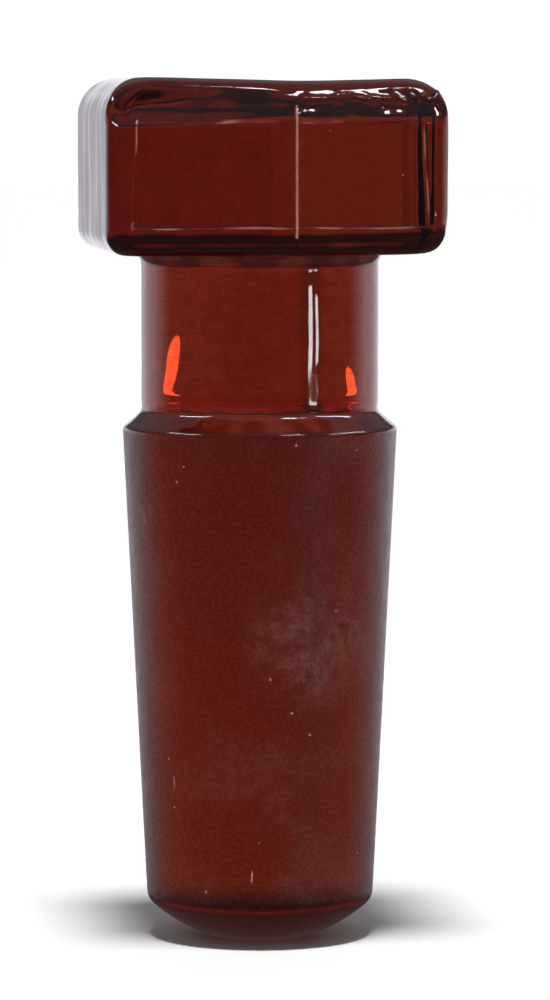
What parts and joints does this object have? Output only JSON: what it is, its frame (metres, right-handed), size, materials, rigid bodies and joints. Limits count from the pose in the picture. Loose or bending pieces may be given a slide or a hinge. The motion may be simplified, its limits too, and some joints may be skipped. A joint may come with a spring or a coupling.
{
  "type": "glass stopper",
  "caption": "Solid amber glass laboratory stopper with a block-shaped head, a round neck and a long ground conical plug that seals a standard-taper flask or bottle neck.",
  "frame": {"origin": "middle of the small flat foot at the lower end of the plug", "axes": "+Z along the stopper's axis, from the foot up to the head; +X and -X out of the narrow ends of the head; -Y out of its broad front face"},
  "size_m": [0.0296, 0.024, 0.0753],
  "materials": {
    "amber_glass": "fire-polished head, neck and shoulder; matt ground plug and lower end"
  },
  "bodies": {
    "root": {"stopper": "amber_glass"}
  },
  "joints": []
}
